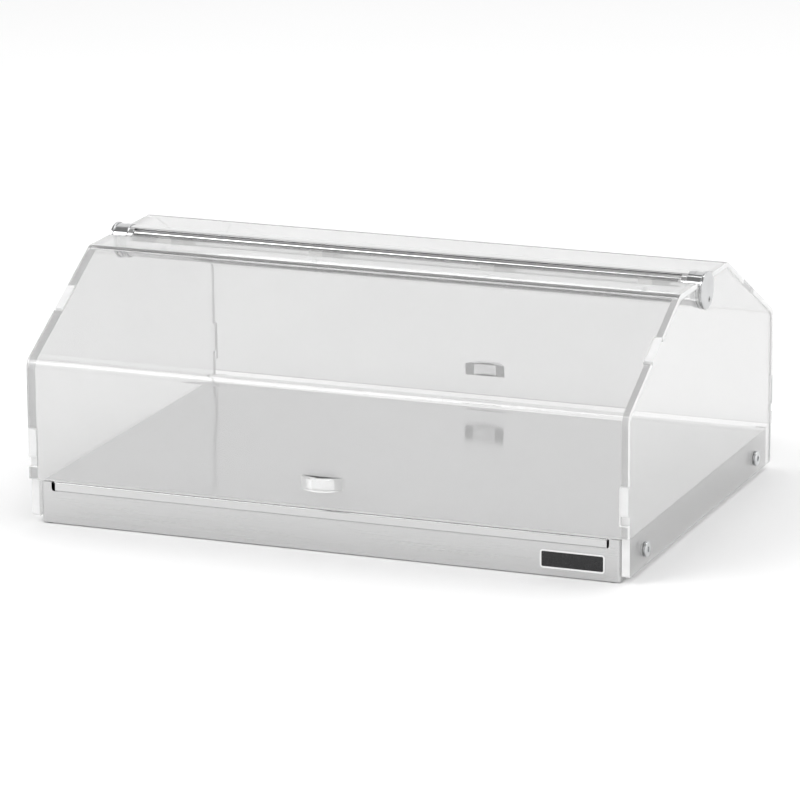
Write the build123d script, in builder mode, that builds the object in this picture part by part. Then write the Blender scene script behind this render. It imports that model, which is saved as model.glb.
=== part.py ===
"""Countertop bakery display case: folded steel base, clear side panels, two lift-up flaps.

Front is -Y, the right side is +X and up is +Z. The origin is the centre of the footprint
at the level of the table. All sizes are in millimetres and all angles in degrees.
"""
from build123d import *
from math import acos, atan2, cos, degrees, hypot, radians, sin, tan
import os

# ---------------------------------------------------------------- driving dimensions
case_width = 620.0         # over the outer faces of the side panels
case_depth = 446.6         # over the outer faces of the closed flaps
top_height = 247.0         # outer face of the flat top
bend_height = 164.0        # outer corner between the upright and the sloped part of a flap
slope_run = 150.0          # how far the sloped part reaches inwards
flap_bottom = 45.5         # lower edge of a closed flap

panel_thickness = 8.0
panel_bottom = 6.5         # lower edge of the side panels
panel_corner = 3.0
flap_thickness = 5.0
bend_radius = 12.0         # outer radius of both flap bends
moving_gap = 0.3           # between pieces that move past one another

sheet = 1.5                # steel of the base frame
shelf_sheet = 1.0          # steel of the shelf
foot_height = 1.0
foot_radius = 6.0
shelf_top = 42.0
frame_setback = 1.0        # base frame behind the edges of the side panels
flange_width = 15.0        # bottom flange of the base frame
shelf_flange = 12.0        # side flanges under the shelf
wall_top = 33.2            # upper edge of the front and rear walls between their tabs
tab_width = 11.0
tab_top = 42.3
tab_radius = 3.0
lip_gap = 3.0              # between a folded lip of the shelf and the tabs
lip_bottom = 30.0
lip_bend = 2.0
lip_fit = 0.2              # between the shelf's lips and the frame's walls
spacer_thickness = 2.0
spacer_radius = 7.5

screw_height = 22.0        # side panel screws above the table
screw_spacing = 340.0
screw_radius = 2.5
screw_fit = 0.25
screw_head_radius = 7.5
screw_head_height = 2.2
screw_socket_flats = 3.0
screw_socket_depth = 1.4
nut_radius = 4.6
nut_thickness = 4.0

tube_wall = 1.5
tube_end_gap = 1.4         # end of the tube from the side panel
slot_end_gap = 12.0        # end of a tube slot from the side panel
slot_low_angle = 87.0      # lower edge of a tube slot, from straight up

flap_travel = 60.0         # how far a flap lifts
lift_clear = 0.5           # between a lifted flap and the upper edge of its slot
rod_lip = 2.2              # of a hinge rod above and below the flap it grips
rod_rise = 9.0             # rod centre above the tube axis
rod_tube_gap = 0.35        # between a rod and the inside of the tube
rod_slot_floor = 1.5       # slot floor beyond the rod centre
journal_radius = 3.0
journal_fit = 0.05
journal_end_gap = 0.7

collar_wall = 1.15         # of the collar round the tube
collar_length = 6.5        # collar from the side panel inwards
collar_web = 1.0           # web behind the end of the tube
hub_step = 0.3             # hub smaller than the collar
hub_fit = 0.3              # between the hub and the notch in the side panel
sleeve_fit = 0.05
disc_rim = 1.0             # disc larger than the collar
disc_seat = 0.5            # inner face of the disc beyond the side panel
disc_thickness = 3.0
disc_edge = 0.8
cap_screw_place = (4.5, -10.0)
cap_screw_radius = 1.5
cap_screw_head = 2.8
cap_screw_head_height = 1.2
cap_screw_length = 9.0

outer_saddle_gap = 48.0    # outer saddles from the side panels
inner_saddle_share = 0.3   # inner saddles as a share of the way to the side panels
saddle_length = 14.0
saddle_drop = 0.5          # top of a saddle below the flap sheet
bearing_screw_angle = 105.0
bearing_screw_radius = 1.5
bearing_screw_head = 2.6
bearing_screw_head_height = 1.4
bearing_screw_reach = 8.0

collar_clear = 0.8         # between the flap's shoulder and the collar
collar_notch_gap = 2.0     # between the flap's shoulder and the disc
neck_gap = 0.5             # between the flap's neck and the ends of its slot
neck_clear = 1.75          # the flap narrows this far in front of the tube
tab_side_gap = 0.5
upright_tab = (66.0, 96.0)       # tab on the upright edge of a side panel
upright_notch = (58.0, 96.6)     # matching notch in the flap
slope_tab = (78.0, 111.0)        # tab on the sloped edge, along the slope from its lower corner
slope_notch = (75.0, 111.6)
tab_corner = 4.0

handle_width = 43.0
handle_depth = 14.0
handle_low = 65.5
handle_thickness = 12.0
handle_opening_width = 24.0
handle_opening_depth = 7.0

badge_side_gap = 15.0      # badge to the side of the base frame
badge_width = 65.0
badge_low = 8.2
badge_height = 18.2
badge_thickness = 1.0
badge_radius = 3.0
badge_border = 1.6
badge_relief = 0.4

# ---------------------------------------------------------------- worked out from the above
half_width = case_width / 2
half_depth = case_depth / 2
panel_inset = flap_thickness + moving_gap
panel_half_depth = half_depth - panel_inset
panel_inner = half_width - panel_thickness
frame_half_width = panel_inner - spacer_thickness
frame_half_depth = panel_half_depth - frame_setback
shelf_half_depth = frame_half_depth - sheet - lip_fit
frame_side_top = shelf_top - shelf_sheet
rod_radius = flap_thickness / 2 + rod_lip
rod_offset = rod_radius + moving_gap
rod_z = top_height - flap_thickness / 2
tube_bore = hypot(rod_offset, rod_rise) + rod_radius + rod_tube_gap
tube_radius = tube_bore + tube_wall
tube_z = rod_z - rod_rise
tube_half = panel_inner - tube_end_gap
slot_half = panel_inner - slot_end_gap
neck_half = slot_half - neck_gap
neck_start = tube_radius + neck_clear
collar_radius = tube_radius + collar_wall
collar_start = panel_inner - collar_length
collar_bore_end = panel_inner - collar_web
hub_radius = collar_radius - hub_step
disc_radius = collar_radius + disc_rim
collar_notch = disc_radius + collar_notch_gap
rod_half = collar_bore_end - journal_end_gap
journal_end = half_width - 2 * collar_web
inner_saddle = inner_saddle_share * panel_inner
outer_saddle = panel_inner - outer_saddle_gap
saddle_places = (-outer_saddle, -inner_saddle, inner_saddle, outer_saddle)
# The lifted flap's upper face passes the upper edge of its slot with lift_clear to spare.
lift = radians(flap_travel)
lift_reach = flap_thickness / 2 + lift_clear - rod_offset * sin(lift) + rod_rise * cos(lift)
slot_high_angle = degrees(acos(lift_reach / tube_bore)) - flap_travel
badge_left = frame_half_width - badge_side_gap - badge_width
slope_rise = top_height - bend_height
slope_angle = degrees(atan2(slope_rise, slope_run))
slope_way = (cos(radians(slope_angle)), sin(radians(slope_angle)))
right_way = Plane.YZ
left_way = Plane(origin=(0, 0, 0), x_dir=(0, -1, 0), z_dir=(-1, 0, 0))

os.makedirs("parts", exist_ok=True)


def outline(inset, low, inner_end):
    """Corner points (y, z) of the front flap's outer face, moved inwards by inset."""
    front = -half_depth + inset
    lower_bend = bend_height + inset * tan(radians(slope_angle)) - inset / slope_way[0]
    upper_run = (slope_rise - inset + inset / slope_way[0]) / tan(radians(slope_angle))
    return [
        (front, low),
        (front, lower_bend),
        (-half_depth + upper_run, top_height - inset),
        (inner_end, top_height - inset),
    ]


def on_slope(along, inset):
    """Point (y, z) along the front slope from its lower corner, below its outer face."""
    return (
        -half_depth + along * slope_way[0] + inset * slope_way[1],
        bend_height + along * slope_way[1] - inset * slope_way[0],
    )


def finish_piece(piece, name):
    """Label a finished piece and write its STEP file."""
    piece.label = name
    export_step(piece, f"parts/{name}.step")
    print(name, "solids", len(piece.solids()), "volume", round(piece.volume))


# ---------------------------------------------------------------- base frame
with BuildPart() as base_frame:
    with BuildSketch(Plane.XY.offset(foot_height)):
        Rectangle(2 * frame_half_width, 2 * frame_half_depth)
        fillet(vertices(), radius=2 * sheet)
    extrude(amount=tab_top - foot_height)
    with BuildSketch(Plane.XY.offset(foot_height + sheet)):
        Rectangle(2 * (frame_half_width - sheet), 2 * (frame_half_depth - sheet))
        fillet(vertices(), radius=sheet)
    extrude(amount=tab_top, mode=Mode.SUBTRACT)
    with BuildSketch(Plane.XY.offset(foot_height)):
        Rectangle(2 * (frame_half_width - flange_width), 2 * (frame_half_depth - flange_width))
    extrude(amount=2 * sheet, mode=Mode.SUBTRACT)
    # The front and rear walls are lower between their corner tabs.
    with BuildSketch(Plane.XZ):
        with Locations((0, wall_top)):
            Rectangle(2 * (frame_half_width - tab_width), tab_top, align=(Align.CENTER, Align.MIN))
        fillet(vertices().group_by(Axis.Y)[0], radius=tab_radius)
    extrude(amount=case_depth, both=True, mode=Mode.SUBTRACT)
    # The side walls stop under the shelf and are folded inwards there.
    with BuildSketch(Plane.XY.offset(frame_side_top)):
        Rectangle(case_width, 2 * shelf_half_depth)
    extrude(amount=tab_top, mode=Mode.SUBTRACT)
    for side in (-1, 1):
        with Locations((side * (frame_half_width - sheet / 2), 0, frame_side_top - sheet)):
            Box(shelf_flange, 2 * (shelf_half_depth - lip_bend - shelf_sheet), sheet,
                align=(Align.MAX if side > 0 else Align.MIN, Align.CENTER, Align.MIN))
    for place in (-1, 1):
        with Locations((0, place * screw_spacing / 2, screw_height)):
            Cylinder(screw_radius + screw_fit, case_width, rotation=(0, 90, 0), mode=Mode.SUBTRACT)
base_frame.part.label = "base_frame"
export_step(base_frame.part, "parts/base_frame.step")

# ---------------------------------------------------------------- shelf
with BuildPart() as shelf_plate:
    with BuildSketch(Plane.YZ):
        with BuildLine():
            top = shelf_half_depth
            outer = FilletPolyline(
                (-top, lip_bottom), (-top, shelf_top), (top, shelf_top), (top, lip_bottom),
                radius=lip_bend)
            inner = FilletPolyline(
                (shelf_sheet - top, lip_bottom), (shelf_sheet - top, frame_side_top),
                (top - shelf_sheet, frame_side_top), (top - shelf_sheet, lip_bottom),
                radius=lip_bend - shelf_sheet)
            Line(outer @ 0, inner @ 0)
            Line(outer @ 1, inner @ 1)
        make_face()
    extrude(amount=frame_half_width, both=True)
    # The lips stop short of the frame's corner tabs.
    for side in (-1, 1):
        for end in (-1, 1):
            with Locations((side * frame_half_width, end * top, lip_bottom)):
                Box(2 * (tab_width + lip_gap), 2 * lip_bend, 2 * shelf_top, mode=Mode.SUBTRACT)
shelf_plate.part.label = "shelf_plate"
export_step(shelf_plate.part, "parts/shelf_plate.step")

# ---------------------------------------------------------------- feet
with BuildPart() as foot_pads:
    foot_x = frame_half_width - flange_width / 2
    foot_y = frame_half_depth - flange_width / 2
    with GridLocations(2 * foot_x, 2 * foot_y, 2, 2):
        Cylinder(foot_radius, foot_height, align=(Align.CENTER, Align.CENTER, Align.MIN))
foot_pads.part.label = "foot_pads"
export_step(foot_pads.part, "parts/foot_pads.step")

# ---------------------------------------------------------------- badge
with BuildPart() as badge:
    badge_plane = Plane.XZ.offset(frame_half_depth)
    badge_centre = (badge_left + badge_width / 2, badge_low + badge_height / 2)
    with BuildSketch(badge_plane):
        with Locations(badge_centre):
            RectangleRounded(badge_width, badge_height, badge_radius)
    extrude(amount=badge_thickness)
    with BuildSketch(badge_plane.offset(badge_thickness - badge_relief)):
        with Locations(badge_centre):
            RectangleRounded(badge_width - 2 * badge_border, badge_height - 2 * badge_border,
                             badge_radius - badge_border)
    extrude(amount=badge_relief, mode=Mode.SUBTRACT)
badge.part.label = "badge"
export_step(badge.part, "parts/badge.step")

# ---------------------------------------------------------------- side panels
with BuildPart() as right_side_panel:
    with BuildSketch(Plane.YZ.offset(panel_inner)):
        with BuildLine():
            edge = FilletPolyline(*outline(panel_inset, panel_bottom, 0),
                                  radius=bend_radius - panel_inset)
            Line(edge @ 1, (0, panel_bottom))
            Line((0, panel_bottom), edge @ 0)
        make_face()
        fillet(vertices().group_by(Axis.Y)[0].sort_by(Axis.X)[0], radius=panel_corner)
        with Locations((-half_depth + moving_gap, upright_tab[0])):
            Rectangle(2 * panel_inset, upright_tab[1] - upright_tab[0],
                      align=(Align.MIN, Align.MIN))
        tab_low = vertices().group_by(Axis.X)[0].sort_by(Axis.Y)[0]
        fillet(tab_low, radius=tab_corner)
        with Locations(on_slope(sum(slope_tab) / 2, moving_gap + panel_inset)):
            Rectangle(slope_tab[1] - slope_tab[0], 2 * panel_inset, rotation=slope_angle)
        mirror(about=Plane.YZ)
        with Locations((0, tube_z)):
            Circle(hub_radius + hub_fit, mode=Mode.SUBTRACT)
        with Locations((0, tube_z)):
            Rectangle(2 * (hub_radius - hub_fit), top_height, mode=Mode.SUBTRACT,
                      align=(Align.CENTER, Align.MIN))
        with Locations((-screw_spacing / 2, screw_height), (screw_spacing / 2, screw_height)):
            Circle(screw_radius + screw_fit, mode=Mode.SUBTRACT)
    extrude(amount=panel_thickness)
right_side_panel.part.label = "right_side_panel"
export_step(right_side_panel.part, "parts/right_side_panel.step")

with BuildPart() as left_side_panel:
    add(right_side_panel.part)
    mirror(about=Plane.YZ, mode=Mode.REPLACE)
left_side_panel.part.label = "left_side_panel"
export_step(left_side_panel.part, "parts/left_side_panel.step")

# ---------------------------------------------------------------- side panel fasteners
for side, word, across in ((1, "right", right_way), (-1, "left", left_way)):
    places = [(place * screw_spacing / 2, screw_height) for place in (-1, 1)]
    with BuildPart() as spacers:
        with BuildSketch(across.offset(frame_half_width)):
            with Locations(*places):
                Circle(spacer_radius)
                Circle(screw_radius + screw_fit, mode=Mode.SUBTRACT)
        extrude(amount=spacer_thickness)
    finish_piece(spacers.part, f"{word}_panel_spacers")

    with BuildPart() as weld_nuts:
        with BuildSketch(across.offset(frame_half_width - sheet)):
            with Locations(*places):
                RegularPolygon(nut_radius, 6)
                Circle(screw_radius, mode=Mode.SUBTRACT)
        extrude(amount=-nut_thickness)
    finish_piece(weld_nuts.part, f"{word}_weld_nuts")

    with BuildPart() as panel_screws:
        with BuildSketch(across.offset(half_width)):
            with Locations(*places):
                Circle(screw_head_radius)
        extrude(amount=screw_head_height)
        rims = panel_screws.edges().sort_by(Axis.X)
        chamfer(rims[-2:] if side > 0 else rims[:2], length=screw_head_height / 2)
        with BuildSketch(across.offset(half_width + screw_head_height)):
            with Locations(*places):
                RegularPolygon(screw_socket_flats, 6)
        extrude(amount=-screw_socket_depth, mode=Mode.SUBTRACT)
        with BuildSketch(across.offset(half_width)):
            with Locations(*places):
                Circle(screw_radius)
        extrude(amount=-(half_width - frame_half_width + sheet + nut_thickness))
    finish_piece(panel_screws.part, f"{word}_panel_screws")

# ---------------------------------------------------------------- hinge tube
with BuildPart() as hinge_tube:
    with BuildSketch(Plane.YZ):
        with Locations((0, tube_z)):
            Circle(tube_radius)
            Circle(tube_bore, mode=Mode.SUBTRACT)
    extrude(amount=tube_half, both=True)
    # One slot on each side, wide enough for the flap to lift.
    with BuildSketch(Plane.YZ):
        with BuildLine():
            reach = 2 * tube_radius
            high = radians(90 + slot_high_angle)
            low = radians(90 + slot_low_angle)
            Polyline(
                (0, tube_z),
                (reach * cos(high), tube_z + reach * sin(high)),
                (-reach, tube_z + reach),
                (reach * cos(low), tube_z + reach * sin(low)),
                close=True)
        make_face()
        mirror(about=Plane.YZ)
    extrude(amount=slot_half, both=True, mode=Mode.SUBTRACT)
    screw_way = (-sin(radians(bearing_screw_angle)), cos(radians(bearing_screw_angle)))
    for place in saddle_places:
        hole_plane = Plane(origin=(place, 0, tube_z), z_dir=(0, screw_way[0], screw_way[1]))
        with BuildSketch(hole_plane):
            Circle(bearing_screw_radius + sleeve_fit)
        extrude(amount=reach, mode=Mode.SUBTRACT)
hinge_tube.part.label = "hinge_tube"
export_step(hinge_tube.part, "parts/hinge_tube.step")

# ---------------------------------------------------------------- rod saddles and their screws
saddle_top = top_height - flap_thickness - saddle_drop
with BuildPart() as rod_bearings:
    for place in saddle_places:
        with BuildSketch(Plane.YZ.offset(place - saddle_length / 2)):
            with Locations((0, tube_z)):
                Circle(tube_bore - sleeve_fit)
            with Locations((0, saddle_top)):
                Rectangle(reach, reach, align=(Align.CENTER, Align.MIN), mode=Mode.SUBTRACT)
            with Locations((-rod_offset, rod_z), (rod_offset, rod_z)):
                Circle(rod_radius + moving_gap, mode=Mode.SUBTRACT)
        extrude(amount=saddle_length)
        hole_plane = Plane(origin=(place, 0, tube_z), z_dir=(0, screw_way[0], screw_way[1]))
        with BuildSketch(hole_plane.offset(tube_radius - bearing_screw_reach - sleeve_fit)):
            Circle(bearing_screw_radius + sleeve_fit)
        extrude(amount=reach, mode=Mode.SUBTRACT)
rod_bearings.part.label = "rod_bearings"
export_step(rod_bearings.part, "parts/rod_bearings.step")

with BuildPart() as bearing_screws:
    for place in saddle_places:
        hole_plane = Plane(origin=(place, 0, tube_z), z_dir=(0, screw_way[0], screw_way[1]))
        with BuildSketch(hole_plane.offset(tube_radius - bearing_screw_reach)):
            Circle(bearing_screw_radius)
        extrude(amount=bearing_screw_reach + bearing_screw_head_height)
        with BuildSketch(hole_plane.offset(tube_radius)):
            Circle(bearing_screw_head)
        extrude(amount=bearing_screw_head_height)
bearing_screws.part.label = "bearing_screws"
export_step(bearing_screws.part, "parts/bearing_screws.step")

# ---------------------------------------------------------------- end caps of the tube
disc_inner = half_width + disc_seat
disc_outer = disc_inner + disc_thickness
for side, word, across in ((1, "right", right_way), (-1, "left", left_way)):
    cap_screw_y = cap_screw_place[0] * side
    cap_screw_z = tube_z + cap_screw_place[1]
    with BuildPart() as hinge_cap:
        with BuildSketch(across.offset(collar_start)):
            with Locations((0, tube_z)):
                Circle(collar_radius)
        extrude(amount=panel_inner - collar_start)
        with BuildSketch(across.offset(panel_inner)):
            with Locations((0, tube_z)):
                Circle(hub_radius)
        extrude(amount=disc_inner - panel_inner)
        with BuildSketch(across.offset(collar_start)):
            with Locations((0, tube_z)):
                Circle(tube_radius + sleeve_fit)
        extrude(amount=collar_bore_end - collar_start, mode=Mode.SUBTRACT)
        with BuildSketch(across.offset(collar_bore_end)):
            with Locations((-rod_offset, rod_z), (rod_offset, rod_z)):
                Circle(journal_radius + journal_fit)
        extrude(amount=journal_end + journal_end_gap - collar_bore_end, mode=Mode.SUBTRACT)
        with BuildSketch(across.offset(disc_inner)):
            with Locations((cap_screw_y, cap_screw_z)):
                Circle(cap_screw_radius + sleeve_fit)
        extrude(amount=-cap_screw_length, mode=Mode.SUBTRACT)
    finish_piece(hinge_cap.part, f"{word}_hinge_cap")

    with BuildPart() as cap_disc:
        with BuildSketch(across.offset(disc_inner)):
            with Locations((0, tube_z)):
                Circle(disc_radius)
        extrude(amount=disc_thickness)
        fillet(cap_disc.edges(), radius=disc_edge)
        with BuildSketch(across.offset(disc_inner)):
            with Locations((cap_screw_y, cap_screw_z)):
                Circle(cap_screw_radius + sleeve_fit)
        extrude(amount=disc_thickness, mode=Mode.SUBTRACT)
        with BuildSketch(across.offset(disc_outer)):
            with Locations((cap_screw_y, cap_screw_z)):
                Circle(cap_screw_head + sleeve_fit)
        extrude(amount=-cap_screw_head_height, mode=Mode.SUBTRACT)
    finish_piece(cap_disc.part, f"{word}_cap_disc")

    with BuildPart() as cap_screw:
        with BuildSketch(across.offset(disc_outer - cap_screw_head_height)):
            with Locations((cap_screw_y, cap_screw_z)):
                Circle(cap_screw_head)
        extrude(amount=cap_screw_head_height)
        with BuildSketch(across.offset(disc_outer - cap_screw_head_height)):
            with Locations((cap_screw_y, cap_screw_z)):
                Circle(cap_screw_radius)
        extrude(amount=-cap_screw_length)
        with BuildSketch(across.offset(disc_outer)):
            with Locations((cap_screw_y, cap_screw_z)):
                SlotOverall(1.5 * cap_screw_head, cap_screw_head / 4)
        extrude(amount=-cap_screw_head_height / 2, mode=Mode.SUBTRACT)
    finish_piece(cap_screw.part, f"{word}_cap_screw")

# ---------------------------------------------------------------- front flap
with BuildPart() as front_flap_pane:
    pane_end = -rod_offset + rod_slot_floor
    with BuildSketch(Plane.YZ):
        with BuildLine():
            outer = FilletPolyline(*outline(0, flap_bottom, pane_end), radius=bend_radius)
            inner = FilletPolyline(*outline(flap_thickness, flap_bottom, pane_end),
                                   radius=bend_radius - flap_thickness)
            Line(outer @ 0, inner @ 0)
            Line(outer @ 1, inner @ 1)
        make_face()
    extrude(amount=half_width, both=True)
    for side, across in ((1, right_way), (-1, left_way)):
        # Notches for the tabs of the side panel.
        with BuildSketch(across.offset(panel_inner - tab_side_gap)):
            with Locations((-side * half_depth, upright_notch[0])):
                Rectangle(4 * flap_thickness, upright_notch[1] - upright_notch[0],
                          align=(Align.CENTER, Align.MIN))
            slope_y, slope_z = on_slope(sum(slope_notch) / 2, flap_thickness / 2)
            with Locations((side * slope_y, slope_z)):
                Rectangle(slope_notch[1] - slope_notch[0], 4 * flap_thickness,
                          rotation=side * slope_angle)
        extrude(amount=case_width, mode=Mode.SUBTRACT)
        # Narrower in front of the collar, and narrower again inside the tube.
        for inner_x, start in ((collar_start - collar_clear, collar_notch), (neck_half, neck_start)):
            with Locations((side * inner_x, -start, top_height)):
                Box(case_width, case_depth, 4 * flap_thickness,
                    align=(Align.MIN if side > 0 else Align.MAX, Align.MIN, Align.CENTER),
                    mode=Mode.SUBTRACT)
front_flap_pane.part.label = "front_flap_pane"
export_step(front_flap_pane.part, "parts/front_flap_pane.step")

with BuildPart() as front_hinge_rod:
    with BuildSketch(Plane.YZ):
        with Locations((-rod_offset, rod_z)):
            Circle(rod_radius)
    extrude(amount=rod_half, both=True)
    with BuildSketch(Plane.YZ):
        with Locations((-rod_offset, rod_z)):
            Circle(journal_radius)
    extrude(amount=journal_end, both=True)
    with Locations((0, pane_end, rod_z)):
        Box(2 * slot_half, case_depth, flap_thickness,
            align=(Align.CENTER, Align.MAX, Align.CENTER), mode=Mode.SUBTRACT)
front_hinge_rod.part.label = "front_hinge_rod"
export_step(front_hinge_rod.part, "parts/front_hinge_rod.step")

with BuildPart() as front_handle:
    with BuildSketch(Plane.XY.offset(handle_low)):
        with BuildLine():
            back = -half_depth
            tip = -half_depth - handle_depth
            Line((-handle_width / 2, back), (handle_width / 2, back))
            ThreePointArc((handle_width / 2, back), (0, tip), (-handle_width / 2, back))
        make_face()
    extrude(amount=handle_thickness)
    with BuildSketch(Plane.XY.offset(handle_low)):
        with BuildLine():
            opening_tip = -half_depth - handle_opening_depth
            half_opening = handle_opening_width / 2
            Line((-half_opening, back), (half_opening, back))
            ThreePointArc((half_opening, back), (0, opening_tip), (-half_opening, back))
        make_face()
    extrude(amount=handle_thickness, mode=Mode.SUBTRACT)
front_handle.part.label = "front_handle"
export_step(front_handle.part, "parts/front_handle.step")

# ---------------------------------------------------------------- rear flap
for front_piece in (front_flap_pane, front_hinge_rod, front_handle):
    with BuildPart() as rear_piece:
        add(front_piece.part)
        mirror(about=Plane.XZ, mode=Mode.REPLACE)
    finish_piece(rear_piece.part, front_piece.part.label.replace("front", "rear"))
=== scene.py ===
"""Bakery display case: the detailed visual model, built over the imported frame, in metres."""

import logging
from dataclasses import dataclass
from enum import Enum
from math import cos, pi, radians, sin, tan
from typing import Callable, Sequence

import bpy
from mathutils import Matrix, Vector


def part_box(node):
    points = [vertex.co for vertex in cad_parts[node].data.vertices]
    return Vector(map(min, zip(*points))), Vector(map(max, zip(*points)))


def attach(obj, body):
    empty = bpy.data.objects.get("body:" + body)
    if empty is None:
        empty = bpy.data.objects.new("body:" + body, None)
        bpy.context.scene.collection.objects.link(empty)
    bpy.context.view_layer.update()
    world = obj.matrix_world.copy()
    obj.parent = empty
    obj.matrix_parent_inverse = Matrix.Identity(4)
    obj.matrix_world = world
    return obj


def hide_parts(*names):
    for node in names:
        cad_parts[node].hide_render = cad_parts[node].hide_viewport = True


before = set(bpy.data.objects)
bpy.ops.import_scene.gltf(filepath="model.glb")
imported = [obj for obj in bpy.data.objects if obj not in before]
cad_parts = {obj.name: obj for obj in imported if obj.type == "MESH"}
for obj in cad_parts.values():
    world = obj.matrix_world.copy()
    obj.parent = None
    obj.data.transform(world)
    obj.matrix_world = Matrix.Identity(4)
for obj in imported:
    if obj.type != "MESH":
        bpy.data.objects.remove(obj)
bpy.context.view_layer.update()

LOG = logging.getLogger("display_case")
Point = tuple[float, float, float]
Pair = tuple[float, float]


class Side(Enum):
    """Which end of the case a piece belongs to."""

    LEFT = -1
    RIGHT = 1


class Facing(Enum):
    """Which flap a piece belongs to."""

    FRONT = -1
    REAR = 1


# ---------------------------------------------------------------- finishes
@dataclass(frozen=True)
class NodeSheet:
    """A material being wired: its node tree, its shader and its object coordinates."""

    material: bpy.types.Material

    @classmethod
    def blank(cls, name: str) -> "NodeSheet":
        """Start a material that has only its shader and output.

        Args:
            name: Name of the new material.

        Returns:
            The sheet to wire.
        """
        material = bpy.data.materials.new(name)
        material.use_nodes = True
        return cls(material)

    @property
    def shader(self) -> bpy.types.Node:
        """The Principled shader."""
        return self.material.node_tree.nodes["Principled BSDF"]

    def add(self, kind: str, **inputs: object) -> bpy.types.Node:
        """Add a node and set its unlinked inputs by name.

        Args:
            kind: Identifier of the node type.
            inputs: Input names, with underscores for blanks, and their values.

        Returns:
            The new node.
        """
        node = self.material.node_tree.nodes.new(kind)
        for name, value in inputs.items():
            node.inputs[name.replace("_", " ")].default_value = value
        return node

    def link(self, source: bpy.types.NodeSocket, target: bpy.types.NodeSocket) -> None:
        """Join two sockets.

        Args:
            source: Output socket.
            target: Input socket.
        """
        self.material.node_tree.links.new(source, target)

    def grain(self, stretch: Point, detail: float = 4.0) -> bpy.types.NodeSocket:
        """Noise on object coordinates, stretched along the axes.

        Args:
            stretch: Scale of the noise along X, Y and Z, per metre.
            detail: Detail of the noise.

        Returns:
            The noise value's socket.
        """
        place = self.add("ShaderNodeTexCoord")
        mapping = self.add("ShaderNodeMapping", Scale=stretch)
        noise = self.add("ShaderNodeTexNoise", Scale=1.0, Detail=detail, Roughness=0.6)
        self.link(place.outputs["Object"], mapping.inputs["Vector"])
        self.link(mapping.outputs["Vector"], noise.inputs["Vector"])
        return noise.outputs["Fac"]

    def spread(self, source: bpy.types.NodeSocket, low: float, high: float) -> bpy.types.NodeSocket:
        """Turn a 0 to 1 value into a value between two limits.

        Args:
            source: Socket with the 0 to 1 value.
            low: Result at 0.3.
            high: Result at 0.7.

        Returns:
            The result's socket.
        """
        node = self.add("ShaderNodeMapRange")
        for name, value in (("From Min", 0.3), ("From Max", 0.7), ("To Min", low), ("To Max", high)):
            node.inputs[name].default_value = value
        self.link(source, node.inputs["Value"])
        return node.outputs["Result"]

    def blend(self, source: bpy.types.NodeSocket, dark: Sequence[float], light: Sequence[float]) -> None:
        """Drive the base colour between two colours.

        Args:
            source: Socket with the 0 to 1 value.
            dark: Colour at the low end.
            light: Colour at the high end.
        """
        ramp = self.add("ShaderNodeValToRGB")
        ramp.color_ramp.elements[0].position = 0.3
        ramp.color_ramp.elements[0].color = (*dark, 1.0)
        ramp.color_ramp.elements[1].position = 0.7
        ramp.color_ramp.elements[1].color = (*light, 1.0)
        self.link(source, ramp.inputs["Fac"])
        self.link(ramp.outputs["Color"], self.shader.inputs["Base Color"])

    def bump(self, source: bpy.types.NodeSocket, strength: float, distance: float) -> None:
        """Raise the surface by a value.

        Args:
            source: Socket with the height.
            strength: Strength of the bump.
            distance: Height of the bump in metres.
        """
        node = self.add("ShaderNodeBump", Strength=strength, Distance=distance)
        self.link(source, node.inputs["Height"])
        self.link(node.outputs["Normal"], self.shader.inputs["Normal"])


@dataclass(frozen=True)
class SteelFinish:
    """Stainless steel with a brushed grain along one axis."""

    name: str
    dark: Sequence[float]
    light: Sequence[float]
    smooth: float
    rough: float
    stretch: Point
    bump_height: float = 0.00002
    bump_strength: float = 0.1

    def make(self) -> bpy.types.Material:
        """Wire the material.

        Returns:
            The finished material.
        """
        sheet = NodeSheet.blank(self.name)
        sheet.shader.inputs["Metallic"].default_value = 1.0
        grain = sheet.grain(self.stretch)
        sheet.blend(grain, self.dark, self.light)
        sheet.link(sheet.spread(grain, self.smooth, self.rough), sheet.shader.inputs["Roughness"])
        sheet.bump(grain, self.bump_strength, self.bump_height)
        return sheet.material


@dataclass(frozen=True)
class AcrylicFinish:
    """Clear cast acrylic with faint wipe marks."""

    name: str
    dark: Sequence[float]
    light: Sequence[float]
    refraction: float = 1.49
    smooth: float = 0.0
    rough: float = 0.012
    clearness: float = 0.9

    def make(self) -> bpy.types.Material:
        """Wire the material.

        Returns:
            The finished material.
        """
        sheet = NodeSheet.blank(self.name)
        sheet.shader.inputs["IOR"].default_value = self.refraction
        sheet.shader.inputs["Transmission Weight"].default_value = self.clearness
        haze = sheet.grain((5.0, 7.0, 9.0))
        sheet.blend(haze, self.dark, self.light)
        sheet.link(sheet.spread(haze, self.smooth, self.rough), sheet.shader.inputs["Roughness"])
        return sheet.material


@dataclass(frozen=True)
class CutEdgeFinish:
    """The sawn and flame-polished edge of clear acrylic: milky, with a painted glow, a small white emission
    that lights it though it is no lamp.
    """

    name: str
    dark: Sequence[float]
    light: Sequence[float]
    clearness: float = 0.3
    # Strength of the painted glow: white emission that stands in for light reaching the edge.
    painted_glow: float = 0.08

    def make(self) -> bpy.types.Material:
        """Wire the material.

        Returns:
            The finished material.
        """
        sheet = NodeSheet.blank(self.name)
        sheet.shader.inputs["IOR"].default_value = 1.45
        sheet.shader.inputs["Transmission Weight"].default_value = self.clearness
        # Painted glow: the edge emits a little white light of its own.
        sheet.shader.inputs["Emission Color"].default_value = (1.0, 1.0, 1.0, 1.0)
        sheet.shader.inputs["Emission Strength"].default_value = self.painted_glow
        streaks = sheet.grain((60.0, 90.0, 90.0))
        sheet.blend(streaks, self.dark, self.light)
        sheet.link(sheet.spread(streaks, 0.10, 0.25), sheet.shader.inputs["Roughness"])
        return sheet.material


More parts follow.
